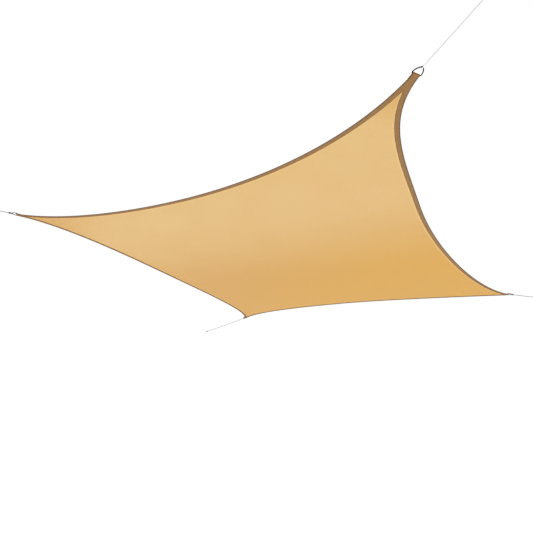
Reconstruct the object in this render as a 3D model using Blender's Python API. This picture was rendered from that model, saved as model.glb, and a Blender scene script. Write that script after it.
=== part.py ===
"""A square shade sail, stretched by a rope at each corner.

Metres, +Z up. Two frames are used. The sail's own frame has its origin at the middle of the four
corners, X towards the right corner, Y towards the far corner and Z up from the cloth. The part's
frame is the sail's, sloped down to the right about Y, with its origin in the left corner's rope
loop, which is the highest of the four places that the sail hangs from.

The cloth is a panel inside a hem. Each edge is a pair of Bezier curves that leave its corners along
their necks, meet where the edge bows in towards the middle and sink a little under its own weight.
"""

import math

import bmesh
import bpy
from mathutils import Matrix, Vector
from mathutils.geometry import interpolate_bezier

# The cloth
SIDE = 3.600  # from the end of one corner's neck to the next
SLOPE = math.radians(4.89)  # the right corner hangs lower than the left
EDGE_DROOP = 0.045  # how far the middle of an edge sinks under its ends
PANEL_THICK = 0.0015
HEM_WIDTH = 0.033
HEM_THICK = 0.0030
NECK_WIDTH = 0.041  # of the cloth where it folds round the ring
PANEL_CELLS = 28  # along each edge of the panel
NECK_ROWS = 5  # across the hem, from the ring to the tip of the panel
EDGE_SAMPLES = 600  # points for measuring along an edge
CROWDING = 0.6  # how much closer the cells lie at the corners than in the middle

# The fold of each neck round its ring's bar
FOLD_CLOTH = 0.0030
FOLD_LAP = 0.036  # how far the turned-back cloth lies on the neck
FOLD_PROUD = 0.0004  # the fold stands this much outside the neck's own cloth
FOLD_WRAP = 225.0  # degrees that the cloth follows the bar, from under it
LAP_START = 0.0185  # from the cloth's end to where the turned-back cloth lies flat
TUNNEL_GAP = 0.0003
FOLD_STEPS = 16

# The triangle rings
WIRE = 0.006
RING_WIDTH = 0.058
RING_HEIGHT = 0.055
RING_BEND = 0.0065  # of the wire's centre, at the two ends of the bar
RING_BOW = 0.0045  # how far each leg bows out
RING_APEX = 0.009  # the radius of the wire's centre round the apex
APEX_SPREAD = 62.0  # degrees that the apex turns through on each side of its top

# The ropes
ROPE = 0.005
ROPE_GAP = 0.0003
KNOT_LENGTH = 0.020
KNOT_RADIUS = 0.0085
KNOT_TURNS = 4
KNOT_RIDGE = 0.0018  # how far the turns stand out of the grooves between them
KNOT_ENDS = 0.62  # the knot's radius at its two ends, as a share of the full one
KNOT_SHOULDER = 0.06  # the share of its length over which it widens to the full radius
KNOT_SIDES = 12
RIDGE_STEPS = 4  # across each turn
BIGHT_SPREAD = 105.0  # degrees of the ring's wire that the rope follows, on each side
BIGHT_STEPS = 12
LOOP_LENGTH = 0.062
LOOP_WIDTH = 0.030
LOOP_TAPER = 0.6  # the higher, the narrower the loop is near its knot
LOOP_STEPS = 24
ROPE_SAG = 0.004  # for each metre of rope
ROPE_POINTS = 16

# Each corner: the bearing that it points along, anticlockwise from +X; the turn of its neck and
# ring off that bearing; then the turn of its rope, the rope's rise out of the sail's plane, and the
# distance from the cloth's end to the loop's end.
CORNERS = {
    #         bearing  turn  rope turn  rise  reach
    "near": (270.0, 10.0, 9.5, 4.0, 0.560),
    "left": (180.0, -5.5, -6.0, 5.0, 0.270),
    "right": (0.0, -1.5, 1.5, 3.0, 0.440),
    "far": (89.4, 2.5, 19.5, 0.5, 1.505),
}

# Each edge: its two corners, and how its curve leaves each of them, as the angle at which it opens
# the neck and the reach of its handle.
EDGES = {
    #              from     to       opening reach   opening reach
    "near_left": ("near", "left", (0.0, 0.565), (5.5, 0.460)),
    "near_right": ("near", "right", (3.5, 0.320), (10.0, 0.420)),
    "left_far": ("left", "far", (3.0, 0.450), (0.0, 0.415)),
    "right_far": ("right", "far", (10.5, 0.245), (2.0, 0.500)),
}

# Each edge's bow: the share of the way along it, how far in it lies from the line between the edge's
# ends, its tilt to that line in degrees, and the reach of the curve's handles on each side of it.
BOWS = {
    #              share  inset  tilt  before  after
    "near_left": (0.50, 0.400, -1.5, 0.605, 0.625),
    "near_right": (0.33, 0.322, 6.5, 0.595, 0.860),
    "left_far": (0.50, 0.328, 0.0, 0.620, 0.625),
    "right_far": (0.50, 0.387, 1.5, 0.595, 0.610),
}

# Colours
CLOTH_TAN = (0.74, 0.49, 0.20)
HEM_BROWN = (0.34, 0.19, 0.075)
RING_BLACK = (0.025, 0.023, 0.022)
ROPE_WHITE = (0.62, 0.60, 0.56)

HANDLE_SINK = EDGE_DROOP * 2 / 3  # the handles that give each half of an edge a parabola's sag
WIRE_RADIUS = WIRE / 2
ROPE_RADIUS = ROPE / 2
TUNNEL_RADIUS = WIRE_RADIUS + TUNNEL_GAP
FOLD_RADIUS = TUNNEL_RADIUS + FOLD_CLOTH
EYE_RADIUS = WIRE_RADIUS + ROPE_GAP + ROPE_RADIUS
BAR_RISE = TUNNEL_RADIUS + HEM_THICK / 2 + FOLD_PROUD  # the bar lies this far above the neck's middle


def clear_scene():
    for obj in list(bpy.data.objects):
        bpy.data.objects.remove(obj, do_unlink=True)


def material(name, colour, roughness, metallic=0.0):
    made = bpy.data.materials.new(name)
    made.use_nodes = True
    shader = made.node_tree.nodes["Principled BSDF"]
    shader.inputs["Base Color"].default_value = (*colour, 1.0)
    shader.inputs["Roughness"].default_value = roughness
    shader.inputs["Metallic"].default_value = metallic
    return made


def bearing(degrees, rise=0.0):
    """A unit vector at this bearing in the sail's plane, tipped up by rise."""
    flat = math.cos(math.radians(rise))
    turn = math.radians(degrees)
    return Vector((flat * math.cos(turn), flat * math.sin(turn), math.sin(math.radians(rise))))


# Corners ------------------------------------------------------------------------------------


def corner_point(corner):
    """The middle of the cloth's end at this corner."""
    return bearing(CORNERS[corner][0]) * SIDE / math.sqrt(2)


def neck_direction(corner):
    """Out of the sail, along the corner's neck."""
    facing, turn = CORNERS[corner][:2]
    return bearing(facing + turn)


def edge_side(corner, other):
    """+1 where the edge to the other corner lies anticlockwise of the neck, seen going inwards."""
    inward = -bearing(CORNERS[corner][0])
    across = corner_point(other) - corner_point(corner)
    return math.copysign(1.0, inward.cross(across).z)


def edge_start(corner, other, opening, reach):
    """Where an edge leaves its corner, and its curve's handle there."""
    side = edge_side(corner, other)
    inward = -neck_direction(corner)
    across = Vector((-inward.y, inward.x, 0.0)) * side
    opened = Matrix.Rotation(math.radians(opening) * side, 3, "Z") @ inward
    start = corner_point(corner) + across * NECK_WIDTH / 2
    return start, start + opened * reach - Vector((0.0, 0.0, HANDLE_SINK))


def edge_bow(name, start, end):
    """Where an edge between these ends bows in, and its curve's handles before and after."""
    share, inset, tilt, before, after = BOWS[name]
    line = end - start
    along = line.normalized()
    inward = (-start - along * along.dot(-start)).normalized()
    place = start + line * share + inward * inset
    place.z = -4 * EDGE_DROOP * share * (1 - share)
    heading = along * math.cos(math.radians(tilt)) + inward * math.sin(math.radians(tilt))
    return place - heading * before, place, place + heading * after


# Edges --------------------------------------------------------------------------------------


class Edge:
    """One edge of the cloth, measured along its length from its first corner."""

    def __init__(self, name):
        first, last, leaving, arriving = EDGES[name]
        start, start_handle = edge_start(first, last, *leaving)
        end, end_handle = edge_start(last, first, *arriving)
        before, bow, after = edge_bow(name, start, end)
        half = EDGE_SAMPLES // 2
        self.points = interpolate_bezier(start, start_handle, before, bow, half)
        self.points += interpolate_bezier(bow, after, end_handle, end, half)[1:]
        self.measured = [0.0]
        for one, two in zip(self.points, self.points[1:]):
            self.measured.append(self.measured[-1] + (two - one).length)
        self.length = self.measured[-1]
        self.inwards = self.side_of_middle()

    def side_of_middle(self):
        along = self.points[-1] - self.points[0]
        return math.copysign(1.0, along.cross(-self.points[0]).z)

    def at(self, distance):
        """The point at this distance along the edge."""
        distance = min(max(distance, 0.0), self.length)
        place = next(i for i, m in enumerate(self.measured) if m >= distance)
        if place == 0:
            return self.points[0].copy()
        before = self.measured[place - 1]
        share = (distance - before) / (self.measured[place] - before)
        return self.points[place - 1].lerp(self.points[place], share)

    def hem_line(self, distance):
        """The point at the hem's inner line, square to the edge at this distance."""
        step = self.length / EDGE_SAMPLES
        along = self.at(distance + step) - self.at(distance - step)
        along.z = 0.0
        inward = Vector((-along.y, along.x, 0.0)).normalized() * self.inwards
        return self.at(distance) + inward * HEM_WIDTH


def measured_from(edge, corner, name):
    """A function that gives the point of an edge at a distance from this one of its corners."""
    if EDGES[name][0] == corner:
        return edge.at
    return lambda distance: edge.at(edge.length - distance)


def neck_length(corner, edges):
    """From the ring to where the neck is two hems wide, so that the panel begins."""
    sides = [measured_from(edges[n], corner, n) for n in EDGES if corner in EDGES[n][:2]]
    short, long = 0.0, SIDE / 4
    while long - short > 1e-5:
        middle = (short + long) / 2
        if (sides[0](middle) - sides[1](middle)).length < 2 * HEM_WIDTH:
            short = middle
        else:
            long = middle
    return short, [(sides[0](d) + sides[1](d)) / 2 for d in row_distances(short)]


def row_distances(length):
    return [length * row / NECK_ROWS for row in range(NECK_ROWS + 1)]


def crowded(share):
    """Shares from 0 to 1, closer together at both ends."""
    return share - CROWDING * math.sin(2 * math.pi * share) / (2 * math.pi)


# The sail -----------------------------------------------------------------------------------


def edge_rows(name, edge, necks):
    """The outer and inner points of the hem along one edge, and where its panel stretch begins."""
    first, last = EDGES[name][:2]
    (first_neck, first_middles), (last_neck, last_middles) = necks[first], necks[last]
    free = edge.length - first_neck - last_neck
    stretch = [first_neck + free * crowded(i / PANEL_CELLS) for i in range(PANEL_CELLS + 1)]
    outer = [edge.at(d) for d in row_distances(first_neck)]
    outer += [edge.at(d) for d in stretch[1:]]
    outer += [edge.at(edge.length - d) for d in reversed(row_distances(last_neck)[:-1])]
    inner = first_middles + [edge.hem_line(d) for d in stretch[1:-1]] + last_middles[::-1]
    return outer, inner


def coons(rows, u, v, across, along):
    """The panel's point at (u, v), blended from its four sides. Rows run away from the near corner."""
    near_left, near_right, left_far, right_far = rows
    sides = near_left[u].lerp(right_far[u], along) + near_right[v].lerp(left_far[v], across)
    low = near_left[0].lerp(near_left[-1], across)
    high = right_far[0].lerp(right_far[-1], across)
    return sides - low.lerp(high, along)


def sail_sheet():
    """The cloth's middle surface: material 0 is the panel and material 1 the hem."""
    edges = {name: Edge(name) for name in EDGES}
    necks = {corner: neck_length(corner, edges) for corner in CORNERS}
    rows = {name: edge_rows(name, edges[name], necks) for name in EDGES}
    sheet = bmesh.new()
    for name in EDGES:
        outer, inner = ([sheet.verts.new(p) for p in line] for line in rows[name])
        for i in range(len(outer) - 1):
            face = sheet.faces.new((outer[i], outer[i + 1], inner[i + 1], inner[i]))
            face.material_index = 1
    panel_rows = [rows[name][1][NECK_ROWS:-NECK_ROWS] for name in EDGES]
    cells = range(PANEL_CELLS + 1)
    shares = [crowded(i / PANEL_CELLS) for i in cells]
    grid = [[sheet.verts.new(coons(panel_rows, u, v, shares[u], shares[v])) for u in cells] for v in cells]
    for v in range(PANEL_CELLS):
        for u in range(PANEL_CELLS):
            sheet.faces.new((grid[v][u], grid[v][u + 1], grid[v + 1][u + 1], grid[v + 1][u]))
    bmesh.ops.remove_doubles(sheet, verts=sheet.verts, dist=1e-5)
    bmesh.ops.recalc_face_normals(sheet, faces=sheet.faces)
    if sum(face.normal.z for face in sheet.faces) < 0:
        bmesh.ops.reverse_faces(sheet, faces=sheet.faces)
    return sheet


def raise_faces(mesh, faces, height):
    """Extrudes these faces straight up or down, and leaves none behind inside."""
    made = bmesh.ops.extrude_face_region(mesh, geom=faces)["geom"]
    moved = [item for item in made if isinstance(item, bmesh.types.BMVert)]
    bmesh.ops.translate(mesh, verts=moved, vec=(0.0, 0.0, height))
    bmesh.ops.delete(mesh, geom=faces, context="FACES_ONLY")


def thicken(sheet):
    """Gives the panel and the hem their thickness, half of it on each side of the sheet."""
    bmesh.ops.translate(sheet, verts=sheet.verts, vec=(0.0, 0.0, -PANEL_THICK / 2))
    kept = bmesh.ops.extrude_face_region(sheet, geom=sheet.faces[:], use_keep_orig=True)["geom"]
    top = [item for item in kept if isinstance(item, bmesh.types.BMVert)]
    bmesh.ops.translate(sheet, verts=top, vec=(0.0, 0.0, PANEL_THICK))
    bmesh.ops.recalc_face_normals(sheet, faces=sheet.faces)
    for side in (1, -1):
        hem = [f for f in sheet.faces if f.material_index == 1 and f.normal.z * side > 0.5]
        raise_faces(sheet, hem, side * (HEM_THICK - PANEL_THICK) / 2)
    bmesh.ops.recalc_face_normals(sheet, faces=sheet.faces)


def fold_profile():
    """The fold's section: x inwards from the cloth's end, y up from the bar's centre."""
    lowest = -FOLD_RADIUS
    lap_top = lowest + HEM_THICK + 2 * FOLD_PROUD + FOLD_CLOTH
    outline = [(FOLD_RADIUS + FOLD_LAP, lowest), (FOLD_RADIUS, lowest)]
    for step in range(1, FOLD_STEPS):
        angle = math.radians(270.0 - FOLD_WRAP * step / FOLD_STEPS)
        outline.append((FOLD_RADIUS + FOLD_RADIUS * math.cos(angle), FOLD_RADIUS * math.sin(angle)))
    outline += [(LAP_START, lap_top), (FOLD_RADIUS + FOLD_LAP, lap_top)]
    tunnel = []
    for step in range(FOLD_STEPS):
        angle = 2 * math.pi * step / FOLD_STEPS
        tunnel.append((FOLD_RADIUS + TUNNEL_RADIUS * math.cos(angle), TUNNEL_RADIUS * math.sin(angle)))
    return outline, tunnel


def neck_slope(corner):
    """How steeply the neck climbs to its ring, from the mean of its two edges."""
    climbs = []
    for first, last, (_, first_reach), (_, last_reach) in EDGES.values():
        if first == corner:
            climbs.append(HANDLE_SINK / first_reach)
        if last == corner:
            climbs.append(HANDLE_SINK / last_reach)
    return math.atan(sum(climbs) / len(climbs))


def frame_at(place, across, out):
    """A frame at this place with X across, Y out and Z square to both."""
    axes = Matrix((across, out, across.cross(out))).transposed().to_4x4()
    return Matrix.Translation(place) @ axes


def ring_frame(corner):
    """Origin at the ring's bar, X along the bar, Y out towards the ring's apex and Z up."""
    out = neck_direction(corner)
    across = Vector((out.y, -out.x, 0.0))
    climbing = Matrix.Rotation(neck_slope(corner), 3, across) @ out
    frame = frame_at(corner_point(corner), across, climbing)
    return frame @ Matrix.Translation((0.0, -FOLD_RADIUS, BAR_RISE))


def neck_folds():
    """The turned-back ends of the four necks, one block of cloth with a tunnel through it at each."""
    folds = bmesh.new()
    half = NECK_WIDTH / 2 + FOLD_PROUD
    for corner in CORNERS:
        lines = []
        for outline in fold_profile():
            verts = [folds.verts.new((-half, FOLD_RADIUS - x, y)) for x, y in outline]
            lines += [folds.edges.new((a, b)) for a, b in zip(verts, verts[1:] + verts[:1])]
        verts = list({vert for line in lines for vert in line.verts})
        faces = bmesh.ops.triangle_fill(folds, edges=lines, use_beauty=True)["geom"]
        faces = [item for item in faces if isinstance(item, bmesh.types.BMFace)]
        made = bmesh.ops.extrude_face_region(folds, geom=faces, use_keep_orig=True)["geom"]
        moved = [item for item in made if isinstance(item, bmesh.types.BMVert)]
        bmesh.ops.translate(folds, verts=moved, vec=(2 * half, 0.0, 0.0))
        bmesh.ops.transform(folds, matrix=ring_frame(corner), verts=verts + moved)
    bmesh.ops.recalc_face_normals(folds, faces=folds.faces)
    for face in folds.faces:
        face.material_index = 1
    return folds


def mesh_object(name, mesh, materials, parent):
    data = bpy.data.meshes.new(name)
    mesh.to_mesh(data)
    mesh.free()
    obj = bpy.data.objects.new(name, data)
    bpy.context.collection.objects.link(obj)
    for item in materials:
        data.materials.append(item)
    obj.parent = parent
    return obj


def union_with(obj, other):
    """Joins a hidden helper to an object."""
    other.hide_render = True
    other.display_type = "WIRE"
    joined = obj.modifiers.new("join " + other.name, "BOOLEAN")
    joined.operation = "UNION"
    joined.object = other


def build_sail(parent):
    cloth = material("shade cloth", CLOTH_TAN, 0.85)
    hem = material("hem cloth", HEM_BROWN, 0.9)
    sheet = sail_sheet()
    thicken(sheet)
    sail = mesh_object("sail", sheet, (cloth, hem), parent)
    folds = mesh_object("neck_folds", neck_folds(), (cloth, hem), parent)
    union_with(sail, folds)


# Rings --------------------------------------------------------------------------------------


def arc_stop(centre, radius, degrees, step):
    """A point of a round arc, with the handles before and after it for arcs of this many degrees."""
    angle = math.radians(degrees)
    place = centre + Vector((math.cos(angle), math.sin(angle))) * radius
    along = Vector((-math.sin(angle), math.cos(angle))) * radius * 4 / 3 * math.tan(math.radians(step) / 4)
    return place, place - along, place + along


def ring_stops():
    """Round the right half of the ring from its bar to its apex: a point, and its handles."""
    half, top = RING_WIDTH / 2 - WIRE_RADIUS, RING_HEIGHT - WIRE
    heel = Vector((half - RING_BEND, RING_BEND))
    apex = Vector((0.0, top - RING_APEX))
    foot = arc_stop(heel, RING_BEND, -90.0, 90.0)
    turn = arc_stop(heel, RING_BEND, 0.0, 90.0)
    shoulder = arc_stop(apex, RING_APEX, 90.0 - APEX_SPREAD, APEX_SPREAD)
    crown = arc_stop(apex, RING_APEX, 90.0, APEX_SPREAD)
    leg = shoulder[0] - turn[0]
    bow = Vector((leg.y, -leg.x)).normalized() * RING_BOW * 4 / 3
    third = leg / 3
    return [
        (foot[0], foot[0], foot[2]),
        (turn[0], turn[1], turn[0] + third + bow),
        (shoulder[0], shoulder[0] - third + bow, shoulder[2]),
        crown,
    ]


def ring_curve(name):
    """A closed triangle of round wire, with its bar along X and its apex towards Y."""
    right = ring_stops()
    flip = Matrix(((-1.0, 0.0), (0.0, 1.0)))
    left = [(flip @ place, flip @ after, flip @ before) for place, before, after in reversed(right[:-1])]
    stops = right + left
    data = bpy.data.curves.new(name, "CURVE")
    data.dimensions = "3D"
    data.resolution_u = 5
    data.bevel_depth = WIRE_RADIUS
    data.bevel_resolution = 2
    line = data.splines.new("BEZIER")
    line.bezier_points.add(len(stops) - 1)
    line.use_cyclic_u = True
    for point, (place, before, after) in zip(line.bezier_points, stops):
        point.co = place.to_3d()
        point.handle_left, point.handle_right = before.to_3d(), after.to_3d()
    return data


def build_rings(parent):
    steel = material("black steel", RING_BLACK, 0.35, 1.0)
    shape = ring_curve("triangle ring")
    shape.materials.append(steel)
    for corner in CORNERS:
        ring = bpy.data.objects.new("ring_" + corner, shape)
        bpy.context.collection.objects.link(ring)
        ring.matrix_local = ring_frame(corner)
        ring.parent = parent


# Ropes --------------------------------------------------------------------------------------


def rope_frame(corner):
    """Origin at the wire of the ring's apex, Y out along the rope and Z up."""
    facing, _, turn, rise, _ = CORNERS[corner]
    out = bearing(facing + turn, rise)
    ring = ring_frame(corner)
    pulled = (ring.to_3x3().inverted() @ out).to_2d().normalized() * RING_APEX
    place = ring @ Vector((pulled.x, RING_HEIGHT - WIRE - RING_APEX + pulled.y, 0.0))
    return frame_at(place, Vector((out.y, -out.x, 0.0)).normalized(), out)


def rope_start():
    """From the apex of the ring to where the rope leaves its knot."""
    return EYE_RADIUS * 2 + KNOT_LENGTH


def rope_end(corner):
    """From the apex of the ring to where the rope enters its loop's knot."""
    return CORNERS[corner][4] - (RING_HEIGHT - WIRE - FOLD_RADIUS) - LOOP_LENGTH - KNOT_LENGTH


def tube(name, points):
    """A rope through these points."""
    data = bpy.data.curves.new(name, "CURVE")
    data.dimensions = "3D"
    data.bevel_depth = ROPE_RADIUS
    data.bevel_resolution = 2
    data.use_fill_caps = True
    line = data.splines.new("POLY")
    line.points.add(len(points) - 1)
    for point, place in zip(line.points, points):
        point.co = (*place, 1.0)
    return data


def rope_route(corner):
    """A taut line from the knot to the loop, in the rope's frame, with its small sag."""
    start, end = rope_start() + ROPE_GAP, rope_end(corner) - ROPE_GAP
    span = end - start
    route = []
    for i in range(ROPE_POINTS):
        share = i / (ROPE_POINTS - 1)
        sag = 4 * share * (1 - share) * ROPE_SAG * span
        route.append(Vector((0.0, start + span * share, -sag)))
    return route


def knot_barrel(mesh, start):
    """A turned barrel with a rounded ridge for each turn of the rope, along Y from start."""
    steps = KNOT_TURNS * RIDGE_STEPS
    profile = [(0.0, start)]
    for i in range(steps + 1):
        share = i / steps
        ridge = abs(math.sin(math.pi * KNOT_TURNS * share))
        widened = min(1.0, min(share, 1 - share) / KNOT_SHOULDER)
        radius = (KNOT_RADIUS - KNOT_RIDGE * (1 - ridge)) * (KNOT_ENDS + (1 - KNOT_ENDS) * widened)
        profile.append((radius, start + KNOT_LENGTH * share))
    profile.append((0.0, start + KNOT_LENGTH))
    verts = [mesh.verts.new((x, y, 0.0)) for x, y in profile]
    edges = [mesh.edges.new(pair) for pair in zip(verts, verts[1:])]
    bmesh.ops.spin(
        mesh,
        geom=verts + edges,
        cent=(0.0, start, 0.0),
        axis=(0.0, 1.0, 0.0),
        angle=2 * math.pi,
        steps=KNOT_SIDES,
        use_merge=True,
    )
    bmesh.ops.remove_doubles(mesh, verts=mesh.verts, dist=1e-6)
    bmesh.ops.recalc_face_normals(mesh, faces=mesh.faces)


def eye_points():
    """The bight of rope round the ring's wire: in from the knot, round the wire and back."""
    deep = EYE_RADIUS * 2 + KNOT_LENGTH / 2
    points = [Vector((0.0, deep, -ROPE_RADIUS))]
    for i in range(BIGHT_STEPS + 1):
        angle = math.radians(BIGHT_SPREAD * (2 * i / BIGHT_STEPS - 1))
        points.append(Vector((0.0, -math.cos(angle), math.sin(angle))) * EYE_RADIUS)
    return points + [Vector((0.0, deep, ROPE_RADIUS))]


def loop_points(start):
    """A teardrop loop of rope in the sail's plane, from a knot that ends at start."""
    wide, long = LOOP_WIDTH / 2 - ROPE_RADIUS, LOOP_LENGTH - ROPE_RADIUS
    apart = ROPE_RADIUS + ROPE_GAP / 2
    points = [Vector((apart, start - KNOT_LENGTH / 2, 0.0))]
    for i in range(LOOP_STEPS + 1):
        angle = 2 * math.pi * i / LOOP_STEPS
        opened = math.sin(angle / 2) if 0 < i < LOOP_STEPS else 0.0
        leg = math.copysign(apart * (1 - opened), LOOP_STEPS / 2 - i)
        across = wide * math.sin(angle) * opened**LOOP_TAPER
        points.append(Vector((across + leg, start + long * (1 - math.cos(angle)) / 2, 0.0)))
    return points + [Vector((-apart, start - KNOT_LENGTH / 2, 0.0))]


def tied_piece(name, barrel_start, bight, frame, rope, parent):
    """A knot and its bight of rope as one piece."""
    mesh = bmesh.new()
    knot_barrel(mesh, barrel_start)
    piece = mesh_object(name, mesh, (rope,), parent)
    piece.matrix_local = frame
    helper = bpy.data.objects.new(name + "_bight", tube(name + " bight", bight))
    bpy.context.collection.objects.link(helper)
    helper.parent = parent
    helper.matrix_local = frame
    union_with(piece, as_mesh(helper))


def as_mesh(obj):
    """The same object as a mesh, which a Boolean needs."""
    bpy.context.view_layer.update()
    graph = bpy.context.evaluated_depsgraph_get()
    data = bpy.data.meshes.new_from_object(obj.evaluated_get(graph))
    made = bpy.data.objects.new(obj.name + "_solid", data)
    bpy.context.collection.objects.link(made)
    made.parent = obj.parent
    made.matrix_local = obj.matrix_local.copy()
    clean = bmesh.new()
    clean.from_mesh(data)
    bmesh.ops.remove_doubles(clean, verts=clean.verts, dist=1e-6)
    bmesh.ops.recalc_face_normals(clean, faces=clean.faces)
    clean.to_mesh(data)
    clean.free()
    bpy.data.objects.remove(obj, do_unlink=True)
    return made


def build_ropes(parent):
    rope = material("white rope", ROPE_WHITE, 0.8)
    for corner in CORNERS:
        frame = rope_frame(corner)
        tied_piece("knot_" + corner, EYE_RADIUS * 2, eye_points(), frame, rope, parent)
        line = tube("rope " + corner, rope_route(corner))
        line.materials.append(rope)
        obj = bpy.data.objects.new("rope_" + corner, line)
        bpy.context.collection.objects.link(obj)
        obj.parent = parent
        obj.matrix_local = frame
        end = rope_end(corner)
        bight = loop_points(end + KNOT_LENGTH)
        tied_piece("loop_" + corner, end, bight, frame, rope, parent)


def bearing_point(corner):
    """Inside the loop's far end, where a hook would bear."""
    inside = rope_end(corner) + KNOT_LENGTH + LOOP_LENGTH - ROPE * 2
    return rope_frame(corner) @ Vector((0.0, inside, 0.0))


def main():
    clear_scene()
    sail_plane = bpy.data.objects.new("sail_plane", None)
    bpy.context.collection.objects.link(sail_plane)
    slope = Matrix.Rotation(SLOPE, 4, "Y")
    sail_plane.matrix_world = Matrix.Translation(-(slope @ bearing_point("left"))) @ slope
    build_sail(sail_plane)
    build_rings(sail_plane)
    build_ropes(sail_plane)
    bpy.context.view_layer.update()


main()
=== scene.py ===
"""A square shade sail, stretched by a rope at each corner and seen from below.

Metres, +Z up. The pieces are placed in the sail's own frame, which has its origin at the middle of
the four corners, X towards the right corner, Y towards the far corner and Z up from the cloth, and
are then moved into the part's frame, whose origin is in the left corner's rope loop.
"""

import math
from bisect import bisect_left
from collections import namedtuple

import bmesh
import bpy
from bpy.props import FloatProperty, FloatVectorProperty, PointerProperty
from mathutils import Matrix, Vector
from mathutils.geometry import interpolate_bezier, intersect_line_line_2d


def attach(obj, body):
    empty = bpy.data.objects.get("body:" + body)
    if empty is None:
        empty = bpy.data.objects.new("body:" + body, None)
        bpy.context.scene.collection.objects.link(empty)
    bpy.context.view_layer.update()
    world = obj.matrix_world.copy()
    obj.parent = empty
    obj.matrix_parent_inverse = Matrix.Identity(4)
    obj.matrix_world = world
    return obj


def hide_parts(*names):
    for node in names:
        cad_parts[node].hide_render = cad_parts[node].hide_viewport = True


bl_info = {
    "name": "Shade Sail",
    "version": (1, 0, 0),
    "blender": (4, 5, 0),
    "location": "3D View > Sidebar > Shade Sail",
    "description": "Builds a stretched square shade sail, its rings and its ropes, with a plain stage",
    "category": "Object",
}

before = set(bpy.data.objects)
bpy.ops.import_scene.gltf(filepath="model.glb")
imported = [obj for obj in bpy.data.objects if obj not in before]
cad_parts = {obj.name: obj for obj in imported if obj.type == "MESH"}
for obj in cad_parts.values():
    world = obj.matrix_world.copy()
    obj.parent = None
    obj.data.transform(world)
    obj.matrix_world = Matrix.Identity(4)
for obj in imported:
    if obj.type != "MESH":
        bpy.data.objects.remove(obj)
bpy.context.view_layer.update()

# Sizes that the frame's solids are built from ----------------
SIDE = 3.600
SLOPE = math.radians(4.89)
EDGE_DROOP = 0.045
HEM_WIDTH = 0.033
HEM_THICK = 0.0030
NECK_WIDTH = 0.041
CROWDING = 0.6

FOLD_CLOTH = 0.0030
FOLD_LAP = 0.036
FOLD_PROUD = 0.0004
FOLD_WRAP = 225.0
LAP_START = 0.0185
TUNNEL_GAP = 0.0003

WIRE = 0.006
RING_WIDTH = 0.058
RING_HEIGHT = 0.055
RING_BEND = 0.0065
RING_BOW = 0.0045
RING_APEX = 0.009
APEX_SPREAD = 62.0

ROPE = 0.005
ROPE_GAP = 0.0003
KNOT_LENGTH = 0.020
BIGHT_SPREAD = 105.0
LOOP_LENGTH = 0.062
LOOP_WIDTH = 0.030
LOOP_TAPER = 0.6
ROPE_SAG = 0.004

ROUTE_POINTS = 16

# The bearing that a corner faces, how far its neck and its rope turn from it and how steeply the
# rope rises, all in degrees, and from the cloth's end to the end of the rope's loop.
Corner = namedtuple("Corner", "facing turn rope_turn rise reach")
CORNERS = {
    "near": Corner(270.0, 10.0, 9.5, 4.0, 0.560),
    "left": Corner(180.0, -5.5, -6.0, 5.0, 0.270),
    "right": Corner(0.0, -1.5, 1.5, 3.0, 0.440),
    "far": Corner(89.4, 2.5, 19.5, 0.5, 1.505),
}

# An edge opens from the neck at each end by some degrees, and bows in once between them, at a share
# of its length. The lengths reach, before and after are those of its curve's handles.
Side = namedtuple("Side", "start end leaving arriving bow")
Leaving = namedtuple("Leaving", "opening reach")
Bow = namedtuple("Bow", "share inset tilt before after")
SIDES = {
    "near_left": Side(
        "near", "left", Leaving(0.0, 0.565), Leaving(5.5, 0.460), Bow(0.50, 0.400, -1.5, 0.605, 0.625)
    ),
    "near_right": Side(
        "near", "right", Leaving(3.5, 0.320), Leaving(10.0, 0.420), Bow(0.33, 0.322, 6.5, 0.595, 0.860)
    ),
    "left_far": Side(
        "left", "far", Leaving(3.0, 0.450), Leaving(0.0, 0.415), Bow(0.50, 0.328, 0.0, 0.620, 0.625)
    ),
    "right_far": Side(
        "right", "far", Leaving(10.5, 0.245), Leaving(2.0, 0.500), Bow(0.50, 0.387, 1.5, 0.595, 0.610)
    ),
}

HANDLE_SINK = EDGE_DROOP * 2 / 3
WIRE_RADIUS = WIRE / 2
RING_TOP = RING_HEIGHT - WIRE  # from the middle of the bar to the middle of the wire at the apex
ROPE_RADIUS = ROPE / 2
TUNNEL_RADIUS = WIRE_RADIUS + TUNNEL_GAP
FOLD_MIDDLE = TUNNEL_RADIUS + FOLD_CLOTH / 2
FOLD_RADIUS = TUNNEL_RADIUS + FOLD_CLOTH
LAP_UNDERSIDE = -FOLD_RADIUS + HEM_THICK + 2 * FOLD_PROUD
EYE_RADIUS = WIRE_RADIUS + ROPE_GAP + ROPE_RADIUS
KNOT_START = EYE_RADIUS * 2
BAR_RISE = TUNNEL_RADIUS + HEM_THICK / 2 + FOLD_PROUD

# Finer sizes, for what shows close up ------------------------
EDGE_SAMPLES = 1200
PANEL_CELLS = 150
PANEL_TUCK = 0.004  # how far the panel reaches into its hem
PUCKER_EASE = 0.01  # from the panel's side to where its puckers have risen
HEM_STEP = 0.011
HEM_ROUNDING = 4  # cells round each long edge of a band
NECK_LENGTH = 0.12  # of the longest neck, from its ring to the panel's tip
NECK_REACH = 0.32  # from the ring, as far as a neck's two edges are matched to each other
NECK_STEP = 0.004
TIP_STEP = 0.001
NECK_OVERLAP = 0.0003  # of its two hems along a neck's middle
STITCH_INSET = 0.009  # of each row of stitches from its hem's edge
STITCH_MARGIN = 2  # of a hem's steps, left without stitches at each end
BOX_INSET = 0.0045  # of the stitches on a fold from its edges
STITCH_DENT = 0.00035  # how deep a row pulls its band in
DENT_WIDTH = 0.0018
DENT_STEEPNESS = 3.0
THREAD_RADIUS = 0.00045
THREAD_SIDES = 4
STITCH_LIFTS = (-1.1, 0.5, 0.9, 0.5)  # of the thread, in its radii, through one stitch
FOLD_STEP = 0.0009
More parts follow.
